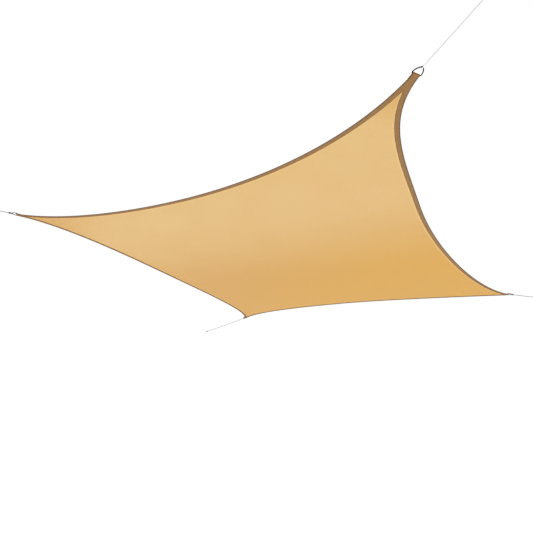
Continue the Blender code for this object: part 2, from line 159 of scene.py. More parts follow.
FOLD_TUCK = 0.004  # how far a fold runs into its neck's hems, past the ring's bar
WIRE_SIDES = 20
RING_STEPS = 14  # along each bend and leg
ROPE_SIDES = 24
ROPE_STEP = 0.0015
BRAID_STEP = 0.0062  # along the rope, from one crossing of its strands to the next
BRAID_WAVES = 2  # round the rope, of two strands each, in either direction
BRAID_DEPTH = 0.07  # of the valleys, as a share of the rope's radius
COIL_TURNS = 3
COIL_RADIUS = 0.0057
COIL_END = 0.45  # the share of its radius that a coil starts and ends with
COIL_TUCK = 0.16  # the share of its length over which each end goes in under it
WELD = 1e-6
SHARP_ANGLE = math.radians(50)
UP = Vector((0.0, 0.0, 1.0))
ACROSS = Vector((1.0, 0.0, 0.0))

# Places where a colour changes, each from where it begins to where it is whole ----------------

SHADING_BEARING = 50.0  # in degrees, along which the painted shade deepens
PAINTED_SHADING = (-0.33, 0.11)  # painted shade, of the panel along that bearing, in shares of SIDE from its middle
UNBLUSHING = (-0.22, 0.28)  # of the shaded cloth rightwards, in the same shares
LEFT_TIP = (-0.44, -0.67)  # rightwards, where painted shade darkens the left tip
NEAR_TIP = (-0.59, -0.68)  # farwards
HEM_PAINTED_SHADE = (-0.25, 0.10)  # farwards, where painted shade darkens the hems
RIM = (0.020, 0.006)  # in metres from the hem
EDGE_LINE = (0.0070, 0.0025)  # in metres from an edge of the hem
BEND_SHADE = (0.75, 0.40)  # painted shade round the bend, in quarter turns from a fold's outermost line

# Sizes and strengths of what is drawn on the cloth ------------
TIP_BLUSH = 0.8
PATCH_BLUSH = 0.15
RIM_LIGHT = 0.55
INNER_LINE = 0.2  # of the hem's inner line beside its outer one
WALE = 0.0034  # from one upright rib of the knit to the next
COURSE = 0.0026  # from one row of the knit to the next
WALE_SWAY = 0.18  # of each rib to either side, as a share of its width
WALE_POWER = 0.6  # which rounds the ribs
SLIT_DEPTH = 0.5
FIBRE_DEPTH = 0.25  # beside the ribs' height
CLOTH_RELIEF = 0.0004
THREAD_PLIES = 2.0
THREAD_TWIST = 900.0  # in plies a metre

SUN_BREADTH = math.radians(30.0)  # which softens its shadows
SUN_TURN = (math.radians(28.0), math.radians(-14.0), 0.0)
FLOOR_CELLS = 4

# Corners ---------------------

def bearing(degrees, rise=0.0):
    """A unit vector at this bearing in the sail's plane, tipped up by rise."""
    flat = math.cos(math.radians(rise))
    turn = math.radians(degrees)
    return Vector((flat * math.cos(turn), flat * math.sin(turn), math.sin(math.radians(rise))))


def corner_point(corner):
    """The middle of the cloth's end at this corner."""
    return bearing(CORNERS[corner].facing) * SIDE / math.sqrt(2)


def neck_direction(corner):
    """Out of the sail, along the corner's neck."""
    return bearing(CORNERS[corner].facing + CORNERS[corner].turn)


def edge_start(corner, other, leaving):
    """Where an edge leaves its corner for the other one, and its curve's handle there."""
    towards = corner_point(other) - corner_point(corner)
    side = math.copysign(1.0, (-bearing(CORNERS[corner].facing)).cross(towards).z)
    inward = -neck_direction(corner)
    across = UP.cross(inward) * side
    opened = Matrix.Rotation(math.radians(leaving.opening) * side, 3, "Z") @ inward
    start = corner_point(corner) + across * NECK_WIDTH / 2
    return start, start + opened * leaving.reach - UP * HANDLE_SINK


def edge_bow(bow, start, end):
    """Where an edge between these ends bows in, and its curve's handles before and after."""
    line = end - start
    along = line.normalized()
    inward = (-start - along * along.dot(-start)).normalized()
    place = start + line * bow.share + inward * bow.inset
    place.z = -4 * EDGE_DROOP * bow.share * (1 - bow.share)
    tilt = math.radians(bow.tilt)
    heading = along * math.cos(tilt) + inward * math.sin(tilt)
    return place - heading * bow.before, place, place + heading * bow.after


def edge_ends(corner):
    """The two ends that meet at this corner: their edge, whether first or last, and how it leaves."""
    starting = [(name, 0, side.leaving) for name, side in SIDES.items() if side.start == corner]
    ending = [(name, -1, side.arriving) for name, side in SIDES.items() if side.end == corner]
    return starting + ending


def neck_slope(corner):
    """How steeply the neck climbs to its ring, from the mean of its two edges."""
    climbs = [HANDLE_SINK / leaving.reach for _, _, leaving in edge_ends(corner)]
    return math.atan(sum(climbs) / len(climbs))


def frame_at(place, across, out):
    """A frame at this place with X across, Y out and Z square to both."""
    axes = Matrix((across, out, across.cross(out))).transposed().to_4x4()
    return Matrix.Translation(place) @ axes


def ring_frame(corner):
    """Origin at the ring's bar, X along the bar, Y out towards the ring's apex and Z up."""
    out = neck_direction(corner)
    across = out.cross(UP)
    climbing = Matrix.Rotation(neck_slope(corner), 3, across) @ out
    bar = Matrix.Translation((0.0, -FOLD_RADIUS, BAR_RISE))
    return frame_at(corner_point(corner), across, climbing) @ bar


def rope_frame(corner):
    """Origin at the wire of the ring's apex, Y out along the rope and Z up."""
    facts = CORNERS[corner]
    out = bearing(facts.facing + facts.rope_turn, facts.rise)
    ring = ring_frame(corner)
    pulled = (ring.to_3x3().inverted() @ out).to_2d().normalized() * RING_APEX
    place = ring @ Vector((pulled.x, RING_TOP - RING_APEX + pulled.y, 0.0))
    return frame_at(place, out.cross(UP).normalized(), out)


def rope_ends(corner):
    """Along the rope from its ring's wire: where it leaves its knot, and where its loop's knot begins."""
    loop = CORNERS[corner].reach - (RING_TOP - FOLD_RADIUS) - LOOP_LENGTH - KNOT_LENGTH
    return KNOT_START + KNOT_LENGTH, loop


def bearing_point(corner):
    """Inside the loop's far end, where a hook would bear."""
    inside = rope_ends(corner)[1] + KNOT_LENGTH + LOOP_LENGTH - ROPE * 2
    return rope_frame(corner) @ Vector((0.0, inside, 0.0))


SLOPED = Matrix.Rotation(SLOPE, 4, "Y")
SAIL_PLANE = Matrix.Translation(-(SLOPED @ bearing_point("left"))) @ SLOPED

# Edges -----------------------

def running_lengths(points):
    """How far along their line each of these points lies."""
    lengths = [0.0]
    for one, two in zip(points, points[1:]):
        lengths.append(lengths[-1] + (two - one).length)
    return lengths


def point_at(points, lengths, distance):
    """The point at this distance along a line, given its points and their running lengths."""
    place = min(max(bisect_left(lengths, distance), 1), len(points) - 1)
    before, after = lengths[place - 1], lengths[place]
    return points[place - 1].lerp(points[place], (distance - before) / (after - before))


class Edge:
    """One edge of the cloth, measured along its length from its first corner."""

    def __init__(self, side):
        start, start_handle = edge_start(side.start, side.end, side.leaving)
        end, end_handle = edge_start(side.end, side.start, side.arriving)
        before, bow, after = edge_bow(side.bow, start, end)
        half = EDGE_SAMPLES // 2
        self.side = side
        self.points = interpolate_bezier(start, start_handle, before, bow, half)
        self.points += interpolate_bezier(bow, after, end_handle, end, half)[1:]
        self.measured = running_lengths(self.points)
        self.length = self.measured[-1]
        self.hand = math.copysign(1.0, (end - start).cross(-start).z)

    def at(self, distance):
        """The point at this distance along the edge."""
        return point_at(self.points, self.measured, min(max(distance, 0.0), self.length))

    def inward(self, distance):
        """Level and square to the edge at this distance, towards the panel."""
        step = self.length / EDGE_SAMPLES
        along = self.at(distance + step) - self.at(distance - step)
        return UP.cross(along).normalized() * self.hand

    def from_corner(self, corner, distance):
        """The same measure, counted from this one of the edge's two corners."""
        return distance if self.side.start == corner else self.length - distance

    def neck(self, distance):
        """The corner whose neck this place is part of, or None."""
        for corner in self.side[:2]:
            if self.from_corner(corner, distance) <= NECK_REACH:
                return corner
        return None

    def room(self, distance, width):
        """How wide a band of this width can be here before it meets the neck's middle line."""
        start = self.at(distance)
        reach = start + self.inward(distance) * width
        line = MIDDLES.get(self.neck(distance), [])
        for one, two in zip(line, line[1:]):
            met = intersect_line_line_2d(start.xy, reach.xy, one.xy, two.xy)
            if met is not None:
                return (met - start.xy).length
        return width

    def tip(self, corner, width):
        """From this corner to where a band of this width first has room for its whole width."""
        distance = 0.0
        while self.room(self.from_corner(corner, distance), width) < width:
            distance += TIP_STEP
        return distance

    def lean(self, distance):
        """How steeply a band climbs inwards here, to meet the neck's other edge halfway in height."""
        corner = self.neck(distance)
        if corner is None:
            return 0.0
        away = self.from_corner(corner, distance)
        one, two = corner_edges(corner)
        other = two if self is one else one
        gap = other.at(other.from_corner(corner, away)) - self.at(distance)
        fade = min(1.0, (NECK_REACH - away) / (NECK_REACH - NECK_LENGTH))
        return gap.z / gap.xy.length * fade

    def frame(self, distance):
        """Origin on the edge, X inwards across the hem, Y along it and Z up."""
        across = (self.inward(distance) + UP * self.lean(distance)).normalized()
        return frame_at(self.at(distance), across, UP.cross(across).normalized())


EDGES = {name: Edge(side) for name, side in SIDES.items()}


def corner_edges(corner):
    """The two edges that meet at this corner."""
    return [edge for edge in EDGES.values() if corner in edge.side[:2]]


def middle_line(corner):
    """Points along the middle of a neck, from its ring inwards."""
    one, two = corner_edges(corner)
    line = []
    for i in range(round(NECK_REACH / NECK_STEP)):
        distance = i * NECK_STEP
        ends = [edge.at(edge.from_corner(corner, distance)) for edge in (one, two)]
        line.append((ends[0] + ends[1]) / 2)
    return line


MIDDLES = {corner: middle_line(corner) for corner in CORNERS}

# Making meshes ---------------

def bent_grid(columns, rows, place, measure):
    """A grid whose vertices lie at place(column, row), with measure(column, row) as its UV map."""
    mesh = bmesh.new()
    uv = mesh.loops.layers.uv.new("UVMap")
    bmesh.ops.create_grid(mesh, x_segments=columns, y_segments=rows, size=0.5, calc_uvs=True)
    for face in mesh.faces:
        for loop in face.loops:
            at = loop[uv].uv
            at.xy = measure(round(at.x * columns), round(at.y * rows))
    for vert in mesh.verts:
        vert.co = place(round((vert.co.x + 0.5) * columns), round((vert.co.y + 0.5) * rows))
    return mesh


def swept(stations, outlines, flat=False, closed=False):
    """A band or tube through these frames, with its outline at each in the frame's X and Z.

    Its UV map runs along its length in metres, and across it in metres where it is flat or else
    once round it from 0 to 1.
    """
    around = len(outlines[0])
    along = running_lengths([station.translation for station in stations])

    def place(column, row):
        x, z = outlines[column][row % around]
        return stations[column] @ Vector((x, 0.0, z))

    def measure(column, row):
        return along[column], outlines[column][row % around][0] if flat else row / around

    mesh = bent_grid(len(stations) - 1, around, place, measure)
    bmesh.ops.remove_doubles(mesh, verts=mesh.verts, dist=WELD)
    if not closed:
        bmesh.ops.holes_fill(mesh, edges=mesh.edges, sides=around)
    bmesh.ops.recalc_face_normals(mesh, faces=mesh.faces)
    return mesh


def frames_along(points, up, closed=False):
    """A frame at each point, with Y along the line and Z carried along it from up."""
    count = len(points)
    frames = []
    for i, point in enumerate(points):
        if closed:
            before, after = points[i - 1 if i else count - 2], points[(i + 1) % (count - 1)]
        else:
            before, after = points[max(i - 1, 0)], points[min(i + 1, count - 1)]
        along = (after - before).normalized()
        across = along.cross(up).normalized()
        up = across.cross(along)
        frames.append(frame_at(point, across, along))
    return frames


def evenly(points, step):
    """Points along the same line, about one step apart."""
    lengths = running_lengths(points)
    cells = max(2, round(lengths[-1] / step))
    return [point_at(points, lengths, lengths[-1] * i / cells) for i in range(cells + 1)]


def round_outline(radius, sides):
    turns = [2 * math.pi * i / sides for i in range(sides)]
    return [(radius * math.cos(turn), radius * math.sin(turn)) for turn in turns]


def band_outline(width, thick, rows=(), bulge=1.0):
    """A flat band from x = 0 to width, pulled in along each of these rows.

    Its edge at 0 is round. Its other edge is round where bulge is 1 and square where it is 0.
    """
    flats = sorted({*rows, *(r - DENT_WIDTH for r in rows), *(r + DENT_WIDTH for r in rows)})
    half = thick / 2

    def height(x):
        away = [(x - r) / DENT_WIDTH for r in rows]
        return half - STITCH_DENT * sum(math.exp(-(share**2) * DENT_STEEPNESS) for share in away)

    def arc(centre, first, reach):
        turns = [math.radians(first + 180.0 * i / HEM_ROUNDING) for i in range(HEM_ROUNDING + 1)]
        return [(centre + reach * math.cos(a), half * math.sin(a)) for a in turns]

    under = [(x, -height(x)) for x in flats]
    over = [(x, height(x)) for x in reversed(flats)]
    return under + arc(width - half * bulge, -90.0, half * bulge) + over + arc(half, 90.0, half)


def mesh_data(name, mesh):
    """The finished bmesh as a mesh of this name."""
    data = bpy.data.meshes.new(name)
    mesh.to_mesh(data)
    mesh.free()
    return data


def joined(meshes):
    """One mesh made of several."""
    whole = meshes[0]
    for mesh in meshes[1:]:
        data = mesh_data("part", mesh)
        whole.from_mesh(data)
        bpy.data.meshes.remove(data)
    return whole


def added(name, data):
    """A new object in the scene."""
    made = bpy.data.objects.new(name, data)
    bpy.context.scene.collection.objects.link(made)
    return made


def piece(name, mesh, finish, place=None):
    """Makes an object of this mesh that rides on the part."""
    if place:
        bmesh.ops.transform(mesh, matrix=place, verts=mesh.verts)
    bmesh.ops.transform(mesh, matrix=SAIL_PLANE, verts=mesh.verts)
    data = mesh_data(name, mesh)
    data.shade_smooth()
    data.set_sharp_from_angle(angle=SHARP_ANGLE)
    data.materials.append(finish)
    made = added(name, data)
    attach(made, "root")
    return made


# Finishes --------------------

class Recipe:
    """The shader nodes of one finish, which end in a Principled shader."""

    def __init__(self, name, **sockets):
        self.material = bpy.data.materials.new(name)
        self.material.use_nodes = True
        self.tree = self.material.node_tree
        self.shader = self.tree.nodes["Principled BSDF"]
        for socket, value in sockets.items():
            self.shader.inputs[socket.replace("_", " ")].default_value = value

    def node(self, kind, inputs, **settings):
        """Adds a node. An input is given by its name or number, as a value or another's output."""
        made = self.tree.nodes.new("ShaderNode" + kind)
        for name, value in settings.items():
            setattr(made, name, value)
        for socket, value in inputs.items():
            self.feed(made.inputs[socket], value)
        return made

    def feed(self, socket, value):
        if isinstance(value, bpy.types.NodeSocket):
            self.tree.links.new(value, socket)
        elif socket.type == "RGBA":
            socket.default_value = (*value, 1.0)
        else:
            socket.default_value = value

    def maths(self, operation, *values):
        return self.node("Math", dict(enumerate(values)), operation=operation).outputs[0]

    def times(self, value, by):
        return self.maths("MULTIPLY", value, by)

    def ribs(self, wave, value):
        """From 0 to 1 and back, twice in each turn of this wave."""
        return self.maths("ABSOLUTE", self.maths(wave, value))

    def ramp(self, value, low, high):
        """From 0 to 1 as the value goes from low to high, softly."""
        inputs = {"Value": value, "From Min": low, "From Max": high}
        return self.node("MapRange", inputs, interpolation_type="SMOOTHSTEP").outputs[0]

    def across_sail(self, value, shares):
        """A ramp between these shares of the sail's side."""
        return self.ramp(value, *(SIDE * share for share in shares))

    def blend(self, share, low, high):
        """From one colour to the other. A Mix node's colours go in at 6 and 7 and come out at 2."""
        return self.node("Mix", {0: share, 6: low, 7: high}, data_type="RGBA").outputs[2]

    def noise(self, place, scale, detail=2.0):
        inputs = {"Vector": place, "Scale": scale, "Detail": detail}
        return self.node("TexNoise", inputs).outputs[0]

    def spots(self, place, scale, low, high, detail=2.0):
        """From 0 to 1 in soft spots, where the noise goes from low to high."""
        return self.ramp(self.noise(place, scale, detail), low, high)

    def coordinates(self, which):
        return self.node("TexCoord", {}).outputs[which]

    def split(self, vector):
        return self.node("SeparateXYZ", {0: vector}).outputs

    def along_piece(self):
        """How far along the piece and across it, from its UV map."""
        return self.split(self.coordinates("UV"))[:2]

    def from_middle(self):
        """The place on the part, measured from the middle of the sail's corners."""
        inputs = {0: self.coordinates("Object"), 1: SAIL_PLANE.translation}
        return self.node("VectorMath", inputs, operation="SUBTRACT").outputs[0]

    def bump(self, height, distance, strength=1.0):
        inputs = {"Height": height, "Distance": distance, "Strength": strength}
        self.feed(self.shader.inputs["Normal"], self.node("Bump", inputs).outputs[0])

    def finish(self, socket, value):
        self.feed(self.shader.inputs[socket], value)


def toned(colour, share):
    """This colour, lighter or darker by a share."""
    return tuple(part * share for part in colour)


def knitted(recipe, x, y, colour, slit_shade, slit_shade_share, strength, fibres=True):
    """Finishes knitted cloth of this colour, with x across its wales and y along them.

    The wales are zigzag ribs, and a slit between them at each course is painted darker, as shade, in the
    darker colour that it is given.
    """
    lean = recipe.maths("SINE", recipe.times(y, math.pi / COURSE))
    swayed = recipe.maths("MULTIPLY_ADD", lean, WALE * WALE_SWAY, x)
    ridge = recipe.ribs("SINE", recipe.times(swayed, math.pi / WALE))
    rung = recipe.ribs("COSINE", recipe.times(y, math.pi / COURSE))
    slit = recipe.times(recipe.ramp(ridge, low=0.42, high=0.12), recipe.ramp(rung, low=0.72, high=0.35))
    rounded = recipe.maths("POWER", ridge, WALE_POWER)
    height = recipe.maths("SUBTRACT", rounded, recipe.times(slit, SLIT_DEPTH))
    if fibres:
        fuzz = recipe.noise(recipe.coordinates("UV"), scale=900.0)
        height = recipe.maths("MULTIPLY_ADD", fuzz, FIBRE_DEPTH, height)
    # Painted shade: the slits between the ribs take the darker colour.
    recipe.finish("Base Color", recipe.blend(recipe.times(slit, slit_shade_share), colour, slit_shade))
    recipe.bump(height, CLOTH_RELIEF, strength)
    return recipe.material


def shade_cloth(colours):
    """Tan knitted cloth with painted light and shade: lighter at its near left side and darker towards its
    right, lighter along its hems, deeper at two of its tips.
    """
    recipe = Recipe("shade cloth", Roughness=0.85, Sheen_Weight=0.03, Specular_IOR_Level=0.25)
    place = recipe.from_middle()
    rightwards, farwards, _ = recipe.split(place)
    inputs = {0: place, 1: bearing(SHADING_BEARING)}
    run = recipe.node("VectorMath", inputs, operation="DOT_PRODUCT").outputs["Value"]
    # The painted shade's colour: blushed at the left side, deep at the right.
    side = recipe.across_sail(rightwards, UNBLUSHING)
    deep = recipe.blend(side, colours.cloth_blush, colours.cloth_shaded)
    painted_shade = recipe.across_sail(run, PAINTED_SHADING)
    left_tip = recipe.across_sail(rightwards, LEFT_TIP)
    # Painted light and shade: from the lit colour at the near left to the shaded colour along the bearing
    # and at the left tip.
    tan = recipe.blend(recipe.maths("MAXIMUM", painted_shade, left_tip), colours.cloth_lit, deep)
    near_tip = recipe.times(recipe.across_sail(farwards, NEAR_TIP), TIP_BLUSH)
    tan = recipe.blend(near_tip, tan, colours.cloth_blush)
    patches = recipe.times(recipe.spots(place, scale=2.2, low=0.35, high=0.65), PATCH_BLUSH)
    tan = recipe.blend(patches, tan, colours.cloth_blush)
    from_hem = recipe.node("Attribute", {}, attribute_name="from_hem").outputs["Fac"]
    tan = recipe.blend(recipe.times(recipe.ramp(from_hem, *RIM), RIM_LIGHT), tan, colours.cloth_rim)
    return knitted(recipe, *recipe.along_piece(), tan, colours.hem, slit_shade_share=0.45, strength=0.5)


def shaded_doubled_brown(recipe, colours):
    """The brown of the doubled cloth, painted as shade for the light that it holds back, and deeper away
    from the near corner, more painted shade.
    """
    flecks = recipe.spots(recipe.coordinates("UV"), scale=60.0, low=0.3, high=0.7)
    brown = recipe.blend(flecks, colours.hem, colours.hem_light)
    _, farwards, _ = recipe.split(recipe.from_middle())
    # Painted shade: the hems darken away from the near corner.
    return recipe.blend(recipe.across_sail(farwards, HEM_PAINTED_SHADE), brown, colours.hem_shaded)


def hem_cloth(colours):
    """The same cloth doubled, painted brown as shade for the light that it holds back, with darker lines
    along the edges of the band.
    """
    recipe = Recipe("hem cloth", Roughness=0.88, Sheen_Weight=0.05, Sheen_Roughness=0.5)
    x, y = recipe.along_piece()
    outer = recipe.ramp(y, *EDGE_LINE)
    inner = recipe.ramp(y, *(HEM_WIDTH - inset for inset in EDGE_LINE))
    edges = recipe.maths("MAXIMUM", outer, recipe.times(inner, INNER_LINE))
    brown = recipe.blend(edges, shaded_doubled_brown(recipe, colours), colours.hem_dark)
    slant = [recipe.maths(way, x, y) for way in ("ADD", "SUBTRACT")]
    return knitted(recipe, *slant, brown, colours.hem_dark, slit_shade_share=0.4, strength=0.6)


def fold_cloth(colours):
    """Hem cloth painted a deeper orange shade where it bends round the outside of the ring's bar."""
    recipe = Recipe("fold cloth", Roughness=0.85, Sheen_Weight=0.05, Sheen_Roughness=0.5)
    x, y = recipe.along_piece()
    quarter = math.pi / 2 * FOLD_MIDDLE
    outermost = running_lengths(fold_route())[-1] - FOLD_TUCK - quarter
    away = recipe.maths("ABSOLUTE", recipe.maths("SUBTRACT", x, outermost))
    # Painted shade: the fold is coloured deeper round the outside of the bar.
    stretched = recipe.ramp(away, *(quarter * share for share in BEND_SHADE))
    brown = recipe.blend(stretched, shaded_doubled_brown(recipe, colours), colours.fold)
    return knitted(recipe, y, x, brown, colours.hem_dark, slit_shade_share=0.4, strength=0.6, fibres=False)


def thread_finish(colours):
    """Sewing thread, twisted of two plies, with painted shade in the grooves between them."""
    recipe = Recipe("thread", Roughness=0.6, Sheen_Weight=0.2)
    x, y = recipe.along_piece()
    twist = recipe.maths("MULTIPLY_ADD", y, THREAD_PLIES, recipe.times(x, THREAD_TWIST))
    ply = recipe.maths("PINGPONG", twist, 0.5)
    # Painted shade: the thread is darker where its plies sink into their grooves.
    recipe.finish("Base Color", recipe.blend(ply, toned(colours.thread, 0.6), colours.thread))
    recipe.bump(ply, distance=0.0001)
    return recipe.material


def black_steel(colours):
    """Black coated wire, worn a little brighter in spots."""
    recipe = Recipe("black steel", Specular_IOR_Level=0.12)
    place = recipe.coordinates("Object")
    worn = recipe.spots(place, scale=180.0, low=0.62, high=0.75, detail=4.0)
    recipe.finish("Base Color", recipe.blend(worn, colours.steel, toned(colours.steel, 2.5)))
    gloss = recipe.node("MapRange", {"Value": worn, "To Min": 0.46, "To Max": 0.34})
    recipe.finish("Roughness", gloss.outputs[0])
    recipe.bump(recipe.noise(place, scale=1200.0), distance=0.00004, strength=0.4)
    return recipe.material


def braid(name, strand, valley_shade=0.62):
    """Braided rope, with painted shade that dims it to this share in the valleys between its strands."""
    recipe = Recipe(name, Roughness=0.75, Sheen_Weight=0.1, Sheen_Roughness=0.4)
    x, y = recipe.along_piece()
    along = recipe.times(x, math.pi / BRAID_STEP)
    around = recipe.times(y, BRAID_WAVES * 2 * math.pi)
    ways = [recipe.ribs("COSINE", recipe.maths(way, around, along)) for way in ("ADD", "SUBTRACT")]
    raised = recipe.maths("MAXIMUM", *ways)
    lit = recipe.ramp(raised, low=0.70, high=0.95)
    # Painted shade: the rope is darker in the valleys between its strands.
    recipe.finish("Base Color", recipe.blend(lit, toned(strand, valley_shade), strand))
    fibre = recipe.noise(recipe.coordinates("Object"), scale=2500.0)
    recipe.bump(recipe.maths("MULTIPLY_ADD", fibre, 0.3, raised), distance=0.0002, strength=0.6)
    return recipe.material


def plain_floor(colour):
    """Matt floor paint with a faint unevenness."""
    recipe = Recipe("floor paint", Roughness=0.95)
    specks = recipe.spots(recipe.coordinates("Object"), scale=0.8, low=0.2, high=0.8)
    recipe.finish("Base Color", recipe.blend(specks, toned(colour, 0.985), colour))
    return recipe.material


# The cloth -------------------

def crowded_shares():
    """From 0 to 1 over the panel's cells, closer together at both ends."""
    shares = [i / PANEL_CELLS for i in range(PANEL_CELLS + 1)]
    return [share - CROWDING * math.sin(2 * math.pi * share) / (2 * math.pi) for share in shares]


def panel_sides():
    """Four rows of points along the panel's sides, just inside its hems, with shared ends."""
    width = HEM_WIDTH - PANEL_TUCK
    rows = {}
    for name, edge in EDGES.items():
        first = edge.tip(edge.side.start, width)
        last = edge.tip(edge.side.end, width)
        free = edge.length - first - last
        places = [first + free * share for share in crowded_shares()]
        rows[name] = [edge.frame(d) @ Vector((width, 0.0, 0.0)) for d in places]
    for corner in CORNERS:
        (one, i), (two, j) = ((rows[name], end) for name, end, _ in edge_ends(corner))
        one[i] = two[j] = (one[i] + two[j]) / 2
    return rows


def build_panel(sizes, colours):
    """The panel: a sheet stretched between its four sides, drawn up a little along its hems."""
    rows = panel_sides()
    near_left, near_right, left_far, right_far = (rows[name] for name in SIDES)
    shares = crowded_shares()
    from_hem = {}

    def stretched(u, v):
        across, along = shares[u], shares[v]
        sides = near_left[u].lerp(right_far[u], along) + near_right[v].lerp(left_far[v], across)
        low = near_left[0].lerp(near_left[-1], across)
        return sides - low.lerp(right_far[0].lerp(right_far[-1], across), along)

    def place(u, v):
        point = stretched(u, v)
        sides = (near_left[u], right_far[u], near_right[v], left_far[v])
        gap, nearest = min((((point - side).length, i) for i, side in enumerate(sides)))
        run = sides[nearest].x if nearest < 2 else sides[nearest].y
        pucker = math.sin(2 * math.pi * run / sizes.pucker_length) * sizes.pucker
        fade = min(1.0, gap / PUCKER_EASE) * math.exp(-gap / sizes.pucker_reach)
        from_hem[(u, v)] = max(0.0, gap - PANEL_TUCK)
        return point + UP * (pucker * fade)

    def measure(u, v):
        return stretched(u, v).xy

    mesh = bent_grid(PANEL_CELLS, PANEL_CELLS, place, measure)
    layer = mesh.verts.layers.float.new("from_hem")
    for i, vert in enumerate(mesh.verts):
        vert[layer] = from_hem[(i % (PANEL_CELLS + 1), i // (PANEL_CELLS + 1))]
    bmesh.ops.remove_doubles(mesh, verts=mesh.verts, dist=WELD)
    bmesh.ops.recalc_face_normals(mesh, faces=mesh.faces)
    if sum(face.normal.z for face in mesh.faces) < 0:
        bmesh.ops.reverse_faces(mesh, faces=mesh.faces)
    panel = piece("panel", mesh, shade_cloth(colours))
    wall = panel.modifiers.new("cloth thickness", "SOLIDIFY")
    wall.thickness = sizes.panel_thick
    wall.offset = 0.0
    return panel


def hem_stations(edge):
    """Distances along an edge for its hem, from under one ring's bar to under the other's."""
    cells = round(edge.length / HEM_STEP)
    free = edge.length - 2 * FOLD_RADIUS
    return [FOLD_RADIUS + free * i / cells for i in range(cells + 1)]


def build_hem(name, finish):
    """The cloth turned under along one edge, as far as the middle of each neck."""
    edge = EDGES[name]
    stations, outlines = [], []
    for distance in hem_stations(edge):
        width = edge.room(distance, HEM_WIDTH)
        stations.append(edge.frame(distance))
        rows = (STITCH_INSET, width - STITCH_INSET)
        if width < HEM_WIDTH:
            outlines.append(band_outline(width + NECK_OVERLAP, HEM_THICK, rows, bulge=0.0))
        else:
            outlines.append(band_outline(width, HEM_THICK, rows))
    piece("hem_" + name, swept(stations, outlines, flat=True), finish)


def thread_line(points, up, pitch):
    """A row of stitches: one thread that lies on the cloth and dips into it at each needle hole."""
    whole = running_lengths(points)[-1]
    cells = max(1, round(whole / pitch)) * len(STITCH_LIFTS)
    frames = []
    for i, station in enumerate(frames_along(evenly(points, whole / cells), up)):
        lift = STITCH_LIFTS[i % len(STITCH_LIFTS)] * THREAD_RADIUS
        frames.append(station @ Matrix.Translation(UP * lift))
    return swept(frames, [round_outline(THREAD_RADIUS, THREAD_SIDES)] * len(frames))


def build_hem_stitching(name, finish, sizes):
    """Two rows of stitches along a hem, on both of its faces; the inner one ends at the necks."""
    edge = EDGES[name]
    sewn = hem_stations(edge)[STITCH_MARGIN:-STITCH_MARGIN]
    clear = [distance for distance in sewn if edge.room(distance, HEM_WIDTH) == HEM_WIDTH]
    rows = []
    for inset, distances in ((STITCH_INSET, sewn), (HEM_WIDTH - STITCH_INSET, clear)):
        for face in (1.0, -1.0):
            on_face = Vector((inset, 0.0, face * (HEM_THICK / 2 - STITCH_DENT)))
            points = [edge.frame(distance) @ on_face for distance in distances]
            rows.append(thread_line(points, UP * face, sizes.stitch))
    piece("stitching_" + name, joined(rows), finish)


def fold_route():
    """The fold's middle line in the ring's frame: along the neck, over the bar and back under it."""
    lap = LAP_UNDERSIDE + FOLD_CLOTH / 2
    line = [Vector((0.0, -FOLD_LAP, lap)), Vector((0.0, FOLD_RADIUS - LAP_START, lap))]
    steps = round(math.radians(FOLD_WRAP) * FOLD_MIDDLE / FOLD_STEP)
    for i in range(1, steps + 1):
        angle = math.radians(270.0 - FOLD_WRAP * (1 - i / steps))
        line.append(Vector((0.0, -FOLD_MIDDLE * math.cos(angle), FOLD_MIDDLE * math.sin(angle))))
    return evenly(line + [Vector((0.0, -FOLD_TUCK, -FOLD_MIDDLE))], FOLD_STEP)


def build_fold(corner, finish):
    """The neck's end, folded round its ring's bar and laid back on the neck."""
    width = NECK_WIDTH + 2 * FOLD_PROUD
    outline = [(x - width / 2, z) for x, z in band_outline(width, FOLD_CLOTH, (width / 2,))]
    frames = frames_along(fold_route(), UP)
    mesh = swept(frames, [outline] * len(frames), flat=True)
    piece("fold_" + corner, mesh, finish, ring_frame(corner))


def neck_underside(corner, across, away):
    """In the ring's frame: on the neck's lower face, this far from its middle and from its end."""
    one, two = (edge.at(edge.from_corner(corner, away)) for edge in corner_edges(corner))
    place = one.lerp(two, 0.5 + across / (two - one).length)
    return ring_frame(corner).inverted() @ (place - UP * (HEM_THICK / 2))


def build_fold_stitching(corner, finish, sizes):
    """A box of stitches that sews the fold down, on the neck's two faces."""
    side = NECK_WIDTH / 2 - BOX_INSET
    inner, outer = -FOLD_LAP + BOX_INSET, FOLD_RADIUS - LAP_START - BOX_INSET / 2
    box = [(-side, inner), (side, inner), (side, outer), (-side, outer)]
    over = [Vector((x, y, LAP_UNDERSIDE + FOLD_CLOTH)) for x, y in box]
    under = [neck_underside(corner, x, FOLD_RADIUS - y) for x, y in box]
    rows = []
    for face, ends in ((1.0, over), (-1.0, under)):
        for pair in zip(ends, ends[1:] + ends[:1]):
            rows.append(thread_line(pair, UP * face, sizes.stitch))
    piece("fold_stitching_" + corner, joined(rows), finish, ring_frame(corner))


# Rings -----------------------

def arc_stop(centre, radius, degrees, step):
    """A point of a round arc, with the handles before and after it for arcs of this many degrees."""
    angle = math.radians(degrees)
    place = centre + Vector((math.cos(angle), math.sin(angle))) * radius
    along = Vector((-math.sin(angle), math.cos(angle))) * radius * 4 / 3 * math.tan(math.radians(step) / 4)
    return place, place - along, place + along


